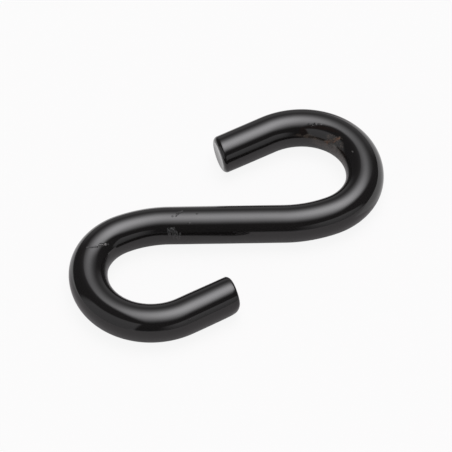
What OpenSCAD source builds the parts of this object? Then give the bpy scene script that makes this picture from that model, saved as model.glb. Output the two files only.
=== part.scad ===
// S hook: one round rod bent into an S with two open eyes, lying flat.
// Millimetres. X runs along the shank, Y across the hook and Z up.
// The origin is under the middle of the shank, at the lowest point of the rod.

/* [Rod] */
// Diameter of the round rod
rod_d = 8; // [5:0.5:12]

/* [Shank] */
// Length of the straight stretch in the middle
shank_l = 24; // [10:1:60]
// Centreline radius of the easy bend that leads from the shank into each eye
lead_r = 25; // [20:1:60]
// Angle of that easy bend
lead_turn = 24; // [5:1:35]

/* [Eyes] */
// Inside radius of the tight bend that each eye starts with
start_r = 7; // [5:0.5:14]
// Angle of that tight bend
start_turn = 65; // [45:1:75]
// Inside radius of the wider bend round the rest of the eye
eye_r = 10.15; // [7:0.05:18]
// Angle of that wider bend
eye_turn = 120; // [105:1:125]
// Length of the straight tail, from the end of the eye to the cut
tail_l = 11.75; // [7:0.25:18]

/* [Cut ends] */
// Radius of the rounded rim of each end
rim_r = 1.1; // [0.4:0.1:1.5]
// Angle between each end's face and a square cut, with the longer side inside the eye
cut_lean = 6; // [0:1:10]

/* [Hidden] */
$fn = 96;

rod_r = rod_d / 2;
// Centreline radii of the two bends
start_bend = start_r + rod_r;
eye_bend = eye_r + rod_r;
// Radius that the rod loses in the wider bend, and twice that in the tight one
thinning = 0.01;
// How far each stretch runs into the tighter bend beside it
lap = 0.05;
// Angle at which the rounded rim runs out into the rod's wall
rim_fade = 20;

// A stretch of rod bent round the origin
module arc(radius, from, to, thickness) {
    rotate_extrude(start = from, angle = to - from)
        translate([radius, 0]) circle(r = thickness);
}

// Half section of the shape that trims an end: a flat face at y = 0, a rounded rim, and a
// flank that opens, so that it leaves the rod's wall alone behind the rim
module end_section() {
    flat_r = rod_r - rim_r * cos(rim_fade);
    flank_l = tail_l + rod_r;
    rim = [
        for (a = [90 : -10 : rim_fade])
            [flat_r + rim_r * cos(a), rim_r * (sin(a) - 1)]
    ];
    flank = [
        [rod_r + flank_l * tan(rim_fade), -rim_r - flank_l],
        [0, -rim_r - flank_l]
    ];
    polygon(concat([[0, 0]], rim, flank));
}

// The straight tail along +X, with its cut end
module tail() {
    intersection() {
        translate([-lap, 0, 0])
            rotate([0, 90, 0]) cylinder(h = tail_l + rod_r, r = rod_r);
        translate([tail_l, 0, 0])
            rotate([0, 90, -cut_lean])
                rotate_extrude() end_section();
    }
}

// One eye, from the end of the shank to the cut. It leaves the shank along +X and bends left.
module eye() {
    lead_lap = lap / lead_r * 180 / PI;
    eye_lap = lap / eye_bend * 180 / PI;
    translate([0, lead_r, 0]) {
        arc(lead_r, -90, lead_turn + lead_lap - 90, rod_r);
        rotate([0, 0, lead_turn]) translate([0, start_bend - lead_r, 0]) {
            arc(start_bend, -90, start_turn - 90, rod_r - 2 * thinning);
            rotate([0, 0, start_turn]) translate([0, eye_bend - start_bend, 0]) {
                arc(eye_bend, -eye_lap - 90, eye_turn - 90, rod_r - thinning);
                rotate([0, 0, eye_turn]) translate([0, -eye_bend, 0]) tail();
            }
        }
    }
}

module hook() {
    color([0.05, 0.05, 0.055])
        translate([0, 0, rod_r]) {
            rotate([0, 90, 0]) cylinder(h = shank_l, r = rod_r, center = true);
            for (side = [0, 180])
                rotate([0, 0, side]) translate([shank_l / 2, 0, 0]) eye();
        }
}

hook();
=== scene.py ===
"""Looks of the s hook: one round steel rod in black gloss enamel, lying on a pale floor.

Metres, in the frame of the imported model: X along the shank, Y across the hook, Z up.
The sizes of the rod and of the marks on it are given in millimetres.
"""

import math

import bpy
import numpy as np
from mathutils import Matrix, Vector


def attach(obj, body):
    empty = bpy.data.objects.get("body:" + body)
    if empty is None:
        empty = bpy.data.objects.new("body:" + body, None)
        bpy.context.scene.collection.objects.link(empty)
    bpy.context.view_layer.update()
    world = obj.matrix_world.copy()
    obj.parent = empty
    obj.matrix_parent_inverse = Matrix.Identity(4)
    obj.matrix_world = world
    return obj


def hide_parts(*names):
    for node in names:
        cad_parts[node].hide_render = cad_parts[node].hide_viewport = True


MM = 0.001

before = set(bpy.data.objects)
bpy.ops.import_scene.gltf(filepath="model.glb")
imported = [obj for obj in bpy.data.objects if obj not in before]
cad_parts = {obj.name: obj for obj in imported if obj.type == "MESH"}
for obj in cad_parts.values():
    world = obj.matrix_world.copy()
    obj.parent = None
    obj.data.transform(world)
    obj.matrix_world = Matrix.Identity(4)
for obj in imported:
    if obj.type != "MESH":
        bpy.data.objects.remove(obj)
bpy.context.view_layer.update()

# --- the rod's path, in millimetres -------------------------------------------------

ROD_R = 4.0
SHANK = 24.0
# Centreline radius and turn of each bend, from the shank to the tail
BENDS = (
    (25.0, math.radians(24.0)),
    (11.0, math.radians(65.0)),
    (14.15, math.radians(120.0)),
)
TAIL = 11.75
# The rounding round each cut end, and how far the cut leans from square
RIM_R = 1.1
CUT_LEAN = math.radians(6.0)

TO_LEAD = SHANK / 2
TO_TAIL = TO_LEAD + sum(radius * turn for radius, turn in BENDS)
TO_TIP = TO_TAIL + TAIL


def half_path(run):
    """Place and heading at a distance run along the half of the rod on the +X side."""
    x, y, heading = min(run, TO_LEAD), 0.0, 0.0
    left = max(run - TO_LEAD, 0.0)
    for radius, turn in BENDS:
        bend = min(left / radius, turn)
        x += radius * (math.sin(heading + bend) - math.sin(heading))
        y += radius * (math.cos(heading) - math.cos(heading + bend))
        heading += bend
        left -= bend * radius
    return x + left * math.cos(heading), y + left * math.sin(heading), heading


def path(run):
    """Place and heading at a signed distance from the middle of the shank."""
    x, y, heading = half_path(abs(run))
    return (x, y, heading) if run >= 0 else (-x, -y, heading)


# --- what making and wear did to this hook, in millimetres --------------------------

# How deep the shear left each cut face hollow
CUT_DISH = 0.13
# Two slow waves in the enamel: radians of each to a millimetre along the rod, the height of
# each, and how low the enamel lies to hold both. Their phases in swell() are only there to
# keep the two apart.
SLOW = 0.83
SLOWER = 0.31
WAVE = 0.004
ENAMEL_LOW = -0.014
# The left eye is fuller on its inner side: by how much, from where to where along the rod this
# grows, and how far past the start of the tail it begins to fade
FULLER = 0.20
FULLER_GROWS = (18.0, 30.0)
FULLER_FADES = 2.0
# The press where the left eye begins: depth, and place and reach along and around the rod
PRESS = 0.15
PRESS_AT = (-15.8, math.radians(-82.0))
PRESS_REACH = (3.8, math.radians(30.0))
# The left tail leans in: how far at its tip, and how far before the tail this starts
BOW = 0.42
BOW_BEFORE = 5.0
# The rim of the left tip: a turn around the rod where it is sharpest, as it is straight across
# from there, and by what share
SHARPEST = math.radians(38.0)
SHARPER = 0.55
# How deep the lower and the upper corner of that rim are worn, and how far from the tip
WORN_LOWER, WORN_UPPER = 0.45, 0.12
WORN_REACH = 2.6


def ease(value, low, high):
    """Goes smoothly from 0 at low to 1 at high."""
    t = min(max((value - low) / (high - low), 0.0), 1.0)
    return t * t * (3 - 2 * t)


def swell(run, turn):
    """How far the enamel stands off the true round: slow waves left by bending and dipping."""
    slow = math.sin(run * SLOW + 1.7 * math.sin(turn) + 0.6) * math.cos(turn - 0.4)
    slower = math.sin(run * SLOWER - 2.1) * math.cos(2 * turn + 0.5)
    return ENAMEL_LOW + WAVE * slow + WAVE * slower


def thicker(run, turn):
    """How much fuller bending left the inner side of the left eye than that of the right."""
    inner = max(-math.sin(turn), 0.0)
    grown = ease(-run, *FULLER_GROWS)
    kept = ease(run, -TO_TIP, -TO_TAIL - FULLER_FADES)
    return FULLER * grown * kept * inner * inner


def dent(run, turn):
    """How deep the inner front of the rod is pressed in where the left eye begins."""
    along = (run - PRESS_AT[0]) / PRESS_REACH[0]
    around = (turn - PRESS_AT[1]) / PRESS_REACH[1]
    return PRESS * math.exp(-along * along - around * around)


def bow(run):
    """How far the left tail leans in towards the shank, beyond the right one."""
    in_tail = max((-run - TO_TAIL + BOW_BEFORE) / (TAIL + BOW_BEFORE), 0.0)
    return BOW * min(in_tail, 1.0) ** 2


def rim_size(side, turn):
    """Radius of the rounding round a cut end."""
    if side > 0:
        return RIM_R
    return RIM_R * (1 - SHARPER * math.cos(turn - SHARPEST) ** 2)


def worn_round(side, to_end, turn):
    """How much the left tip is worn down at the two corners of its rim, so far from its end."""
    if side > 0:
        return 0.0
    across = math.sin(turn - SHARPEST)
    depth = WORN_LOWER if across > 0 else WORN_UPPER
    return depth * across ** 4 * max(1 - to_end / WORN_REACH, 0.0) ** 2


# --- the rod's mesh -----------------------------------------------------------------

# Points in a ring, and millimetres from ring to ring
AROUND = 96
STEP = 0.28
# The rings of a cut end: degrees gone round its rim, and then shares of the flat's radius
RIM_TURNS = (10, 20, 30, 40, 50, 60, 70, 80, 90)
FLAT_SHARES = (0.96, 0.9, 0.8, 0.65, 0.45, 0.22)


def ring_list():
    """The rings as (distance along, turn gone round an end's rim, share of the flat's radius)."""
    runs = np.linspace(-TO_TIP + RIM_R, TO_TIP - RIM_R, int(2 * TO_TIP / STEP))
    cap = [(math.radians(gone), 1.0) for gone in RIM_TURNS]
    cap += [(math.pi / 2, share) for share in FLAT_SHARES]
    left = [(-TO_TIP, gone, share) for gone, share in reversed(cap)]
    right = [(TO_TIP, gone, share) for gone, share in cap]
    return left + [(run, 0.0, 1.0) for run in runs] + right


def section(run, gone, share, turn):
    """Radius at a point, how far it is drawn back along the path, and its place in the map."""
    side = 1 if run > 0 else -1
    if abs(run) < TO_TIP:
        radius = ROD_R + swell(run, turn) + thicker(run, turn) - dent(run, turn)
        back, shown = 0.0, run
    else:
        rim = rim_size(side, turn)
        radius = (ROD_R - rim + rim * math.cos(gone)) * share
        back = rim * (1 - math.sin(gone)) + CUT_DISH * (1 - share * share)
        shown = side * (TO_TIP - RIM_R + RIM_R * gone + (ROD_R - RIM_R) * (1 - share))
    radius -= worn_round(side, TO_TIP - abs(run) + back, turn) * share
    return radius, back * side, shown


def rod_point(run, gone, share, turn):
    """A point at a turn from the top towards the left of the path, and its place in the map."""
    x, y, heading = path(run)
    radius, back, shown = section(run, gone, share, turn)
    lateral = radius * math.sin(turn)
    leaning = ease(abs(run), TO_TAIL, TO_TIP - RIM_R)
    along = math.tan(CUT_LEAN) * lateral * leaning - back
    across = lateral - bow(run)
    point = (
        (x + along * math.cos(heading) - across * math.sin(heading)) * MM,
        (y + along * math.sin(heading) + across * math.cos(heading)) * MM,
        (ROD_R + radius * math.cos(turn)) * MM,
    )
    return point, (shown, turn * ROD_R)


def rod_faces(rings):
    """Quads between the rings, and a fan round each of the two hubs that follow the rings."""
    faces = []
    for ring in range(rings - 1):
        a, b = ring * AROUND, (ring + 1) * AROUND
        for k in range(AROUND):
            n = (k + 1) % AROUND
            faces.append((a + k, b + k, b + n, a + n))
    last, hub = (rings - 1) * AROUND, rings * AROUND
    for k in range(AROUND):
        n = (k + 1) % AROUND
        faces.append((k, n, hub))
        faces.append((last + n, last + k, hub + 1))
    return faces


def unroll(mesh, places):
    """Makes the map of the unrolled rod, in millimetres: along it, and round it from the top."""
    unrolled = mesh.uv_layers.new(name="rod")
    around = 2 * math.pi * ROD_R
    for poly in mesh.polygons:
        corners = [(i, places[mesh.loops[i].vertex_index]) for i in poly.loop_indices]
        rounds = [v for _, (_, v) in corners]
        wraps = max(rounds) - min(rounds) > around / 2
        for i, (u, v) in corners:
            unrolled.data[i].uv = (u, v + around if wraps and v < 0 else v)


def build_rod():
    """The rod as rings swept along its path, with both cut ends closed by leaning faces."""
    rings = ring_list()
    turns = [2 * math.pi * (k / AROUND) - math.pi for k in range(AROUND)]
    made = [rod_point(*ring, turn) for ring in rings for turn in turns]
    made += [rod_point(run, math.pi / 2, 0.0, 0.0) for run in (-TO_TIP, TO_TIP)]
    mesh = bpy.data.meshes.new("rod")
    mesh.from_pydata([point for point, _ in made], [], rod_faces(len(rings)))
    mesh.update()
    mesh.shade_smooth()
    unroll(mesh, [place for _, place in made])
    return mesh


rod = bpy.data.objects.new("hook_rod", build_rod())
bpy.context.scene.collection.objects.link(rod)
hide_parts("hook")
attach(rod, "root")

# --- shader nodes -------------------------------------------------------------------


class Graph:
    """Short ways to add and join shader nodes."""

    def __init__(self, tree):
        self.tree = tree
        self.tree.nodes.clear()

    def node(self, kind, **sets):
        made = self.tree.nodes.new(kind)
        for name, value in sets.items():
            setattr(made, name, value)
        return made

    def put(self, socket, value):
        """Links a socket to another one, or sets it to a constant."""
        if isinstance(value, bpy.types.NodeSocket):
            self.tree.links.new(value, socket)
        else:
            socket.default_value = value

    def math(self, op, a, b=0.0, c=0.0, clamp=False):
        made = self.node("ShaderNodeMath", operation=op, use_clamp=clamp)
        for socket, value in zip(made.inputs, (a, b, c)):
            self.put(socket, value)
        return made.outputs[0]

    def dot(self, a, b):
        made = self.node("ShaderNodeVectorMath", operation="DOT_PRODUCT")
        self.put(made.inputs[0], a)
        self.put(made.inputs[1], b)
        return made.outputs["Value"]

    def ramp(self, value, low, high, out_low=0.0, out_high=1.0, kind="SMOOTHSTEP"):
        """Goes from out_low, where the value is low, to out_high, where it is high."""
        made = self.node("ShaderNodeMapRange", interpolation_type=kind)
        self.put(made.inputs["Value"], value)
        self.put(made.inputs["From Min"], low)
        self.put(made.inputs["From Max"], high)
        self.put(made.inputs["To Min"], out_low)
        self.put(made.inputs["To Max"], out_high)
        return made.outputs[0]

    def noise(self, where, scale, detail, rough):
        made = self.node("ShaderNodeTexNoise")
        self.put(made.inputs["Vector"], where)
        made.inputs["Scale"].default_value = scale
        made.inputs["Detail"].default_value = detail
        made.inputs["Roughness"].default_value = rough
        return made.outputs["Fac"]

    def blend(self, fac, a, b):
        made = self.node("ShaderNodeMix", data_type="RGBA")
        self.put(made.inputs["Factor"], fac)
        self.put(made.inputs[6], a)
        self.put(made.inputs[7], b)
        return made.outputs[2]


# --- the enamel ---------------------------------------------------------------------

# Marks as (along, around, half length, half width, turn, softness): millimetres along the rod
# from the middle of the shank and round it from the top towards the left of the path, degrees
# from along towards round, and how much of the oval its soft edge takes.
RUST = (
    (48.3, 4.25, 1.30, 0.55, 28, 0.80),
    (47.0, 3.35, 0.95, 0.52, 40, 0.80),
    (46.2, 2.60, 0.45, 0.30, 30, 0.80),
)
SCUFFS = (
    (46.3, 2.85, 1.00, 0.62, 35, 0.90),
    (44.0, 3.35, 0.90, 0.45, -40, 0.90),
    (48.6, 3.10, 1.10, 0.40, 20, 0.90),
)
# Dust on the inner side of the eye on the +X side, also made lighter as a painted reflection of
# the floor there
DUST_AND_REFLECTION = (
    (43.8, 5.75, 5.2, 1.7, 0, 0.90),
    (49.5, 5.60, 4.2, 1.2, 0, 0.90),
    (54.6, 4.62, 3.8, 0.50, -3, 0.80),
)
STAIN = (
    (56.3, 3.55, 1.10, 0.95, 0, 0.30),
    (51.4, 2.05, 4.2, 0.40, 8, 0.80),
    (43.0, 4.00, 2.4, 0.22, 0, 0.70),
)
GRIME = (
    (53.4, 1.75, 0.34, 0.30, 0, 0.70),
    (54.1, 2.15, 0.24, 0.20, 10, 0.70),
    (54.8, 2.00, 0.34, 0.22, 10, 0.70),
    (52.4, 1.55, 0.45, 0.18, 10, 0.70),
    (-11.1, -0.75, 0.17, 0.15, 0, 0.70),
    (-10.0, 0.05, 0.30, 0.13, 30, 0.70),
    (-6.0, -0.23, 0.15, 0.13, 0, 0.70),
)
CHIPS = (
    (-28.9, -2.55, 0.50, 0.30, -8, 0.60),
    (-28.3, -2.85, 0.35, 0.20, 0, 0.60),
    (-29.6, -2.20, 0.50, 0.20, -30, 0.60),
    (40.2, 1.80, 0.34, 0.14, 25, 0.60),
    (-64.4, 3.67, 0.28, 0.14, 0, 0.60),
)
SCRATCHES = (
    (-31.75, -0.10, 0.55, 0.15, -70, 0.90),
    (-31.2, -1.05, 0.65, 0.16, -50, 0.90),
    (-30.6, -1.70, 0.40, 0.13, -35, 0.90),
    (-10.1, -0.20, 0.60, 0.14, 62, 0.90),
    (-9.6, 0.10, 0.50, 0.11, 50, 0.90),
    (-9.2, 0.35, 0.35, 0.10, 50, 0.90),
)
STROKES = (
    (-11.9, -4.30, 0.28, 0.75, 10, 0.90),
    (-11.3, -3.75, 0.42, 0.36, 0, 0.90),
    (-10.9, -4.50, 0.22, 0.95, -6, 0.90),
    (-10.3, -4.90, 0.26, 0.80, 8, 0.90),
    (-9.7, -5.20, 0.16, 0.70, -10, 0.90),
)
LUMPS = (
    (-7.6, -2.45, 0.26, 0.18, 0, 0.90),
    (-29.6, -1.95, 0.70, 0.30, -30, 0.90),
)
# Each kind of mark: its places, and how ragged grit makes their edges
MARKS = {
    "rust": (RUST, 3.0),
    "scuffs": (SCUFFS, 3.0),
    "dust_and_reflection": (DUST_AND_REFLECTION, 0.6),
    "stain": (STAIN, 0.9),
    "grime": (GRIME, 0.6),
    "chips": (CHIPS, 2.4),
    "scratches": (SCRATCHES, 1.2),
    "lumps": (LUMPS, 1.2),
    "strokes": (STROKES, 2.2),
}

# Noises as (cells a metre, detail, roughness)
TONE = (90.0, 2.0, 0.5)
HAZE = (180.0, 3.0, 0.6)
WEAR = (260.0, 2.0, 0.5)
RIPPLES = (330.0, 1.0, 0.5)
PATCHES = (900.0, 2.0, 0.6)
GRAIN = (1500.0, 1.0, 0.5)
GRIT = (2600.0, 3.0, 0.65)
SPOTS = (3300.0, 2.0, 0.7)
# Where a noise, or the grit in a chip, begins to count and where it counts in full
HAZE_RANGE = (0.35, 0.75)
WEAR_RANGE = (0.30, 0.60)
PATCH_RANGE = (0.36, 0.62)
SPOT_RANGE = (0.40, 0.62)
FLECK_RANGE = (-0.02, 0.12)

ENAMEL_DARK = (0.0080, 0.0074, 0.0074, 1)
ENAMEL_PALE = (0.0098, 0.0088, 0.0086, 1)
# Dust, lighter and warmer than dust alone, so that it also paints the floor's reflection
DUST_AND_REFLECTION_TONE = (0.068, 0.055, 0.045, 1)
STAIN_TONE = (0.0105, 0.0072, 0.0062, 1)
STROKE_TONE = (0.045, 0.046, 0.046, 1)
SCUFF_TONE = (0.080, 0.064, 0.052, 1)
RUST_DARK = (0.020, 0.013, 0.010, 1)
RUST_TAN = (0.095, 0.072, 0.052, 1)
RUST_ORANGE = (0.150, 0.068, 0.036, 1)
CHIP_TONE = (0.30, 0.29, 0.28, 1)
# The cut faces' grey: partly their own, partly a painted reflection of the floor
CUT_FACE_AND_REFLECTION_TONE = (0.110, 0.110, 0.110, 1)
# The rings round the cut faces: worn, and a painted highlight of the rim
WORN_AND_HIGHLIGHT_TONE = (0.19, 0.19, 0.19, 1)

# How much the strokes hide of the enamel, and the orange patches of the rust
STROKE_COVER = 0.7
ORANGE_COVER = 0.7
# How much is left of the dust, with its painted reflection, and of the rust between their
# patches, and of the worn rings with their painted highlight where they are worn least
DUST_AND_REFLECTION_LEAST = 0.45
RUST_LEAST = 0.70
BRIGHT_RING_LEAST = 0.35
# Along the map past each end of the rod: where the flat of the cut face begins, and where the
# ring round it, worn and with a painted highlight, begins and ends
CUT_BEGINS = (TO_TIP + 0.30, TO_TIP + 0.70)
BRIGHT_RING_BEGINS = (TO_TIP + 0.15, TO_TIP + 0.50)
BRIGHT_RING_ENDS = (TO_TIP + 0.70, TO_TIP + 1.20)

ENAMEL_IOR = 1.6
# Roughness of the enamel with the least haze and with the most, and what each mark adds
GLOSS = (0.05, 0.09)
ROUGHER = {
    "dust_and_reflection": 0.12,
    "stain": 0.02,
    "scuffs": 0.22,
    "chips": 0.35,
    "grime": 0.05,
    "rust": 0.55,
    "cut": 0.06,
}
# Bump: its full height in metres, and the shares of it that the enamel's ripples and grain,
# the grit in some marks, and the marks that stand out or are cut in have
BUMP = 0.1 * MM
RIPPLE_HEIGHT = 0.050
GRAIN_HEIGHT = 0.010
GRITTY = {"chips": 0.9, "rust": 0.6, "scuffs": 0.3}
MARK_HEIGHT = 0.9


def marks(g, unrolled, places, grit, ragged):
    """Where any of the marks lies, from 0 to 1, each an oval whose edge grit makes ragged."""
    found = 0.0
    for along, around, length, width, turn, soft in places:
        turned = g.node("ShaderNodeVectorRotate", rotation_type="Z_AXIS")
        g.put(turned.inputs["Vector"], unrolled)
        turned.inputs["Center"].default_value = (along, around, 0)
        turned.inputs["Angle"].default_value = -math.radians(turn)
        oval = g.node("ShaderNodeVectorMath", operation="MULTIPLY_ADD")
        g.put(oval.inputs[0], turned.outputs[0])
        oval.inputs[1].default_value = (1 / length, 1 / width, 0)
        oval.inputs[2].default_value = (-along / length, -around / width, 0)
        out = g.node("ShaderNodeVectorMath", operation="LENGTH")
        g.put(out.inputs[0], oval.outputs[0])
        reach = g.math("MULTIPLY_ADD", grit, ragged, out.outputs["Value"])
        inside = g.ramp(reach, 1.0 - soft / 2, 1.0 + soft / 2, 1.0, 0.0)
        found = g.math("MAXIMUM", inside, found)
    return found


def unrolled_place(g):
    """The place in the map of the unrolled rod, as a vector, and along the rod alone."""
    apart = g.node("ShaderNodeSeparateXYZ")
    g.put(apart.inputs[0], g.node("ShaderNodeUVMap", uv_map="rod").outputs[0])
    joined = g.node("ShaderNodeCombineXYZ")
    g.put(joined.inputs[0], apart.outputs[0])
    g.put(joined.inputs[1], apart.outputs[1])
    return joined.outputs[0], apart.outputs[0]


def cut_ends(g, spot, along):
    """Where the cut faces lie, and where the worn ring with its painted highlight lies round
    each, from 0 to 1.
    """
    end = g.math("ABSOLUTE", along)
    cut = g.ramp(end, *CUT_BEGINS)
    ring = g.math("MULTIPLY", g.ramp(end, *BRIGHT_RING_BEGINS), g.ramp(end, *BRIGHT_RING_ENDS, 1.0, 0.0))
    uneven = g.ramp(g.noise(spot, *WEAR), *WEAR_RANGE, BRIGHT_RING_LEAST, 1.0)
    return cut, g.math("MULTIPLY", ring, uneven)


def enamel_colour(g, spot, grit, found):
    """The enamel's colour with its marks laid over it, from the dust and its painted reflection
    to the worn rings and their painted highlight.
    """
    colour = g.blend(g.noise(spot, *TONE), ENAMEL_DARK, ENAMEL_PALE)
    patchy = g.ramp(g.noise(spot, *PATCHES), *PATCH_RANGE)
    # The dust's colour is partly a painted reflection of the floor
    dusty_and_reflected = g.math("MULTIPLY", found["dust_and_reflection"], g.ramp(patchy, 0.0, 1.0, DUST_AND_REFLECTION_LEAST, 1.0))
    colour = g.blend(dusty_and_reflected, colour, DUST_AND_REFLECTION_TONE)
    colour = g.blend(found["stain"], colour, STAIN_TONE)
    colour = g.blend(g.math("MULTIPLY", found["strokes"], STROKE_COVER), colour, STROKE_TONE)
    fleck = g.ramp(grit, *FLECK_RANGE)
    spots = g.ramp(g.noise(spot, *SPOTS), *SPOT_RANGE)
    colour = g.blend(g.math("MULTIPLY", found["scuffs"], spots), colour, SCUFF_TONE)
    rusty = g.blend(spots, RUST_DARK, RUST_TAN)
    rusty = g.blend(g.math("MULTIPLY", patchy, ORANGE_COVER), rusty, RUST_ORANGE)
    rusted = g.math("MULTIPLY", found["rust"], g.ramp(patchy, 0.0, 1.0, RUST_LEAST, 1.0))
    colour = g.blend(rusted, colour, rusty)
    colour = g.blend(g.math("MULTIPLY", found["chips"], fleck), colour, CHIP_TONE)
    # The cut faces are made lighter, partly as a painted reflection of the floor
    colour = g.blend(found["cut"], colour, CUT_FACE_AND_REFLECTION_TONE)
    # The worn rings are also a painted highlight of the rim
    return g.blend(found["worn"], colour, WORN_AND_HIGHLIGHT_TONE)


def enamel_roughness(g, spot, found):
    """Gloss with a little haze, and duller marks."""
    rough = g.ramp(g.noise(spot, *HAZE), *HAZE_RANGE, *GLOSS)
    for name, more in ROUGHER.items():
        rough = g.math("ADD", rough, g.math("MULTIPLY", found[name], more))
    return rough


def enamel_bump(g, spot, grit, found):
    """The ripples and grain of the enamel, with its marks standing out or cut in."""
    height = g.math("MULTIPLY", g.noise(spot, *RIPPLES), RIPPLE_HEIGHT)
    height = g.math("MULTIPLY_ADD", g.noise(spot, *GRAIN), GRAIN_HEIGHT, height)
    for name, share in GRITTY.items():
        height = g.math("MULTIPLY_ADD", g.math("MULTIPLY", found[name], grit), share, height)
    standing = g.math("MAXIMUM", found["lumps"], found["strokes"])
    height = g.math("MULTIPLY_ADD", standing, MARK_HEIGHT, height)
    height = g.math("MULTIPLY_ADD", found["grime"], MARK_HEIGHT, height)
    height = g.math("MULTIPLY_ADD", found["scratches"], -MARK_HEIGHT, height)
    bump = g.node("ShaderNodeBump")
    bump.inputs["Distance"].default_value = BUMP
    g.put(bump.inputs["Height"], height)
    return bump.outputs[0]


def enamel():
    """Black gloss enamel with the hook's own rust, dust, stains, chips, scratches and grime, with
    a painted reflection in the dust and on the cut faces, and a painted highlight round those
    faces.
    """
    mat = bpy.data.materials.new("black_enamel")
    mat.use_nodes = True
    g = Graph(mat.node_tree)
    spot = g.node("ShaderNodeTexCoord").outputs["Object"]
    unrolled, along = unrolled_place(g)
    grit = g.math("SUBTRACT", g.noise(spot, *GRIT), 0.5)
    found = {
        name: marks(g, unrolled, places, grit, ragged)
        for name, (places, ragged) in MARKS.items()
    }
    found["cut"], found["worn"] = cut_ends(g, spot, along)
    colour = enamel_colour(g, spot, grit, found)
    rough = enamel_roughness(g, spot, found)
    bump = enamel_bump(g, spot, grit, found)
    body = g.node("ShaderNodeBsdfPrincipled")
    body.inputs["IOR"].default_value = ENAMEL_IOR
    g.put(body.inputs["Base Color"], colour)
    g.put(body.inputs["Roughness"], rough)
    g.put(body.inputs["Normal"], bump)
    out = g.node("ShaderNodeOutputMaterial")
    g.put(out.inputs["Surface"], body.outputs[0])
    return mat


rod.data.materials.append(enamel())

# --- the floor ----------------------------------------------------------------------

# How far the floor reaches each way, in metres, and how little it lies below the hook
FLOOR_REACH = 8.0
FLOOR_DROP = 0.02 * MM
PAPER_TONE = (0.71, 0.67, 0.68, 1)
WHITE = (1, 1, 1, 1)
# How much of the paper is whitened for the camera
CAMERA_WHITE = 0.90
# In the enamel's reflection: how bright the white is and how much of the paper it hides, first
# away from and in the painted light where the paper lies open, then away from and in the part
# behind the hook where the reflection is made dim
LIT_GLOW = (0.50, 1.0)
LIT_COVER = (0.40, 0.75)
DIM_GLOW = (1.0, 0.15)
DIM_COVER = (0.40, 0.85)
# Parts of the floor: a direction across it, and the two distances in millimetres that way
# between which the part begins
# Painted light in the floor's reflection at the right and at the back left, not in front; a dim
# part behind, but not far to the right
LIT_RIGHT = ((1.0, 0.2, 0.0), 34, 37)
LIT_BEHIND = ((-1.0, 1.0, 0.0), 14, 20)
NOT_IN_FRONT = ((0.0, 1.0, 0.0), -13, 1)
DIM_BEHIND = ((0.0, 1.0, 0.0), 38, 46)
FAR_RIGHT = ((1.0, 0.0, 0.0), 22, 36)


def part_of_floor(g, place, way, start, end, before=0.0, after=1.0):
    """Goes from one value before a part of the floor begins to another inside it."""
    return g.ramp(g.dot(place, way), start * MM, end * MM, before, after)


def painted_lit_paper(g, place):
    """Where the paper lies open at the back left and at the right, and its reflection is painted
    lighter, from 0 to 1.
    """
    right = part_of_floor(g, place, *LIT_RIGHT)
    behind = part_of_floor(g, place, *LIT_BEHIND)
    either = g.math("MAXIMUM", right, behind)
    return g.math("MULTIPLY", either, part_of_floor(g, place, *NOT_IN_FRONT))


def dimmed_behind(g, place):
    """Where the floor's reflection is made dim behind the hook, from 0 to 1."""
    made_dim = part_of_floor(g, place, *DIM_BEHIND)
    return g.math("MULTIPLY", made_dim, part_of_floor(g, place, *FAR_RIGHT, 1.0, 0.0))


def whitening(g):
    """How much of the paper is whitened for each ray, and how bright its white is."""
    ray = g.node("ShaderNodeLightPath").outputs
    seen = ray["Is Camera Ray"]
    mirrored = g.math("ADD", ray["Is Glossy Ray"], ray["Is Transmission Ray"], clamp=True)
    place = g.node("ShaderNodeTexCoord").outputs["Object"]
    painted_lit, made_dim = painted_lit_paper(g, place), dimmed_behind(g, place)
    # Painted light: the floor in the reflection glows brighter where the paper lies open, and is
    # made dim behind
    lit_glow = g.ramp(painted_lit, 0.0, 1.0, *LIT_GLOW)
    dim_glow = g.ramp(made_dim, 0.0, 1.0, *DIM_GLOW)
    light = g.math("MAXIMUM", seen, g.math("MULTIPLY", lit_glow, dim_glow))
    lit_cover = g.ramp(painted_lit, 0.0, 1.0, *LIT_COVER)
    dim_cover = g.ramp(made_dim, 0.0, 1.0, *DIM_COVER)
    cover = g.math("MULTIPLY", mirrored, g.math("MAXIMUM", lit_cover, dim_cover))
    return g.math("MULTIPLY_ADD", seen, CAMERA_WHITE, cover), light


def floor_paper():
    """Pale paper, whitened for the camera, so that only a faint shadow stays on it.

    Its reflection in the enamel is whitened too, with painted light most where the paper lies
    open, and it is made dim behind the hook.
    """
    mat = bpy.data.materials.new("floor")
    mat.use_nodes = True
    g = Graph(mat.node_tree)
    paper = g.node("ShaderNodeBsdfDiffuse")
    paper.inputs["Color"].default_value = PAPER_TONE
    white = g.node("ShaderNodeEmission")
    white.inputs["Color"].default_value = WHITE
    share, light = whitening(g)
    g.put(white.inputs["Strength"], light)
    mix = g.node("ShaderNodeMixShader")
    g.put(mix.inputs[0], share)
    g.put(mix.inputs[1], paper.outputs[0])
    g.put(mix.inputs[2], white.outputs[0])
    out = g.node("ShaderNodeOutputMaterial")
    g.put(out.inputs["Surface"], mix.outputs[0])
    return mat


def pale_floor():
    """The sheet of paper under the hook."""
    far, low = FLOOR_REACH, -FLOOR_DROP
    corners = [(-far, -far, low), (far, -far, low), (far, far, low), (-far, far, low)]
    mesh = bpy.data.meshes.new("floor")
    mesh.from_pydata(corners, [], [(0, 1, 2, 3)])
    floor = bpy.data.objects.new("floor", mesh)
    bpy.context.scene.collection.objects.link(floor)
    mesh.materials.append(floor_paper())


# --- the light ----------------------------------------------------------------------

UP = Vector((0, 0, 1))

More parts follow.
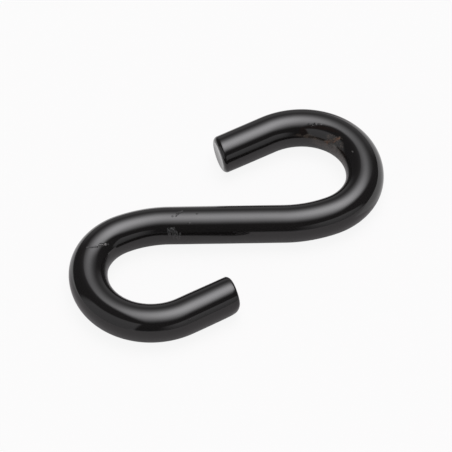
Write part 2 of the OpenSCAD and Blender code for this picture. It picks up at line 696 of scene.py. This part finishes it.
# Edges of the lights as (right, up, reach, blur), in slopes from the middle of each panel
OVERHEAD = (
    (-1.0, -0.14, 0.292, 0.18),
    (1.0, -0.40, 0.69, 0.50),
    (-0.095, -1.0, 0.599, 0.61),
    (0.0, 1.0, 0.834, 2.0),
)
WALL = ((-1.0, 0.0, 0.66, 0.46), (1.0, 0.0, 0.62, 0.46), (0.0, 1.0, 0.45, 0.50))
SILL = ((-1.0, 0.0, 0.36, 0.25), (1.0, 0.0, 0.36, 0.25), (0.0, 1.0, 0.075, 0.07))
LEFT_CARD = ((-1.0, 0.15, 0.72, 0.30), (1.0, -0.10, 0.77, 0.14), (-0.245, 1.0, 1.065, 0.28))
RIGHT_CARD = (
    (-1.0, 0.0, 0.60, 0.70),
    (1.0, 0.0, 0.58, 0.30),
    (0.0, 1.0, 0.59, 0.12),
    (0.60, 1.0, 0.66, 0.12),
)
FOOT = (0.0, -1.0, 0.0, 0.02)
# Upright cards as (bearing in degrees, edges, light at the foot, light at the top, top's slope)
CARDS = (
    (89.0, WALL, 0.28, 0.24, 0.6),
    (262.0, SILL, 0.36, 0.36, 1.0),
    (209.2, LEFT_CARD, 0.43, 0.55, 1.0),
    (316.0, RIGHT_CARD, 0.29, 0.63, 0.6),
)
# The overhead light: its plain light, and how much more, where and how tightly it is hottest
PLAIN_LIGHT = 0.575
HOT_LIGHT = 4.87
HOT_AT = (0.18, 0.253)
HOT_TIGHT = 3.66
# A round patch in it: degrees from straight up to the right and to the back, how tight, and
# its light
GLOW_AT = (6.0, 37.0)
GLOW_TIGHT = 16.0
GLOW_LIGHT = 0.75
ROOM_LIGHT = 0.06
ROOM_TONE = (1.0, 0.99, 1.015, 1)
# A panel lights only directions that face it by more than this cosine
FACING_LEAST = 0.02


def upright(bearing):
    """The level direction so many degrees round from +X."""
    turn = math.radians(bearing)
    return Vector((math.cos(turn), math.sin(turn), 0))


def tilted(right, back):
    """A direction so many degrees from straight up, towards +X and towards +Y."""
    lean = math.radians(math.hypot(right, back))
    turn = math.atan2(back, right)
    level = math.sin(lean)
    return Vector((level * math.cos(turn), level * math.sin(turn), math.cos(lean)))


class Panel:
    """A flat soft light far off, square to the way it faces, with slopes for places on it."""

    def __init__(self, graph, way, facing, across, along):
        self.g = graph
        ahead = graph.dot(way, facing)
        self.x = graph.math("DIVIDE", graph.dot(way, across), ahead)
        self.y = graph.math("DIVIDE", graph.dot(way, along), ahead)
        self.light = graph.math("GREATER_THAN", ahead, FACING_LEAST)

    def edge(self, right, up, reach, blur):
        """Ends the light softly where right * x + up * y comes to reach."""
        place = self.g.math("MULTIPLY_ADD", self.x, right, self.g.math("MULTIPLY", self.y, up))
        self.times(self.g.ramp(place, reach - blur / 2, reach + blur / 2, 1.0, 0.0))

    def times(self, factor):
        self.light = self.g.math("MULTIPLY", self.light, factor)


def overhead(g, way):
    """The main soft light: nearly straight above, hottest a little to the back right."""
    panel = Panel(g, way, UP, Vector((1, 0, 0)), Vector((0, 1, 0)))
    for edge in OVERHEAD:
        panel.edge(*edge)
    dx = g.math("ADD", panel.x, -HOT_AT[0])
    dy = g.math("ADD", panel.y, -HOT_AT[1])
    off = g.math("MULTIPLY_ADD", dx, dx, g.math("MULTIPLY", dy, dy))
    hot = g.math("EXPONENT", g.math("MULTIPLY", off, -HOT_TIGHT))
    panel.times(g.math("MULTIPLY_ADD", hot, HOT_LIGHT, PLAIN_LIGHT))
    return panel.light


def glow(g, way):
    """A round soft patch of light that fades out from its middle."""
    near = g.dot(way, tilted(*GLOW_AT))
    fading = g.math("MULTIPLY_ADD", near, GLOW_TIGHT, math.log(GLOW_LIGHT) - GLOW_TIGHT)
    return g.math("EXPONENT", fading)


def card(g, way, bearing, edges, low, high, top):
    """An upright pale card at a bearing, with one light at its foot and another at its top."""
    facing = upright(bearing)
    panel = Panel(g, way, facing, UP.cross(facing), UP)
    for edge in (*edges, FOOT):
        panel.edge(*edge)
    panel.times(g.ramp(panel.y, 0.0, top, low, high, kind="LINEAR"))
    return panel.light


def studio():
    """A dim room with a soft light overhead, a faint wall behind, and a low sill and two cards
    in front.
    """
    world = bpy.data.worlds.new("studio")
    world.use_nodes = True
    g = Graph(world.node_tree)
    way = g.node("ShaderNodeTexCoord").outputs["Generated"]
    lights = [overhead(g, way), glow(g, way)]
    lights += [card(g, way, *setting) for setting in CARDS]
    level = ROOM_LIGHT
    for light in lights:
        level = g.math("ADD", light, level)
    sky = g.node("ShaderNodeBackground")
    sky.inputs["Color"].default_value = ROOM_TONE
    g.put(sky.inputs["Strength"], level)
    out = g.node("ShaderNodeOutputWorld")
    g.put(out.inputs["Surface"], sky.outputs[0])
    bpy.context.scene.world = world


# --- the camera ---------------------------------------------------------------------

# Where it looks, and from how far, in metres
CAMERA_AIM = Vector((-0.1665 * MM, -0.349 * MM, 4 * MM))
CAMERA_AWAY = 1.5243
# How far it looks down, turns to its right and rolls, in degrees
CAMERA_TURNS = (50.0, -7.342, -6.5)
CAMERA_SENSOR = 36.0
CAMERA_LENS = 578.28


def camera():
    """Looks down on the hook from the front with a long lens, turned and rolled a little."""
    down, turn, roll = (math.radians(angle) for angle in CAMERA_TURNS)
    level = math.cos(down)
    look = Vector((math.sin(turn) * level, math.cos(turn) * level, -math.sin(down)))
    aside = look.cross(UP).normalized()
    upwards = aside.cross(look)
    right = aside * math.cos(roll) + upwards * math.sin(roll)
    axes = Matrix((right, right.cross(look), -look)).transposed().to_4x4()
    cam = bpy.data.objects.new("camera", bpy.data.cameras.new("camera"))
    cam.data.sensor_width = CAMERA_SENSOR
    cam.data.lens = CAMERA_LENS
    cam.matrix_world = Matrix.Translation(CAMERA_AIM - look * CAMERA_AWAY) @ axes
    bpy.context.scene.collection.objects.link(cam)
    bpy.context.scene.camera = cam


pale_floor()
studio()
camera()
bpy.context.scene.view_settings.view_transform = "Standard"
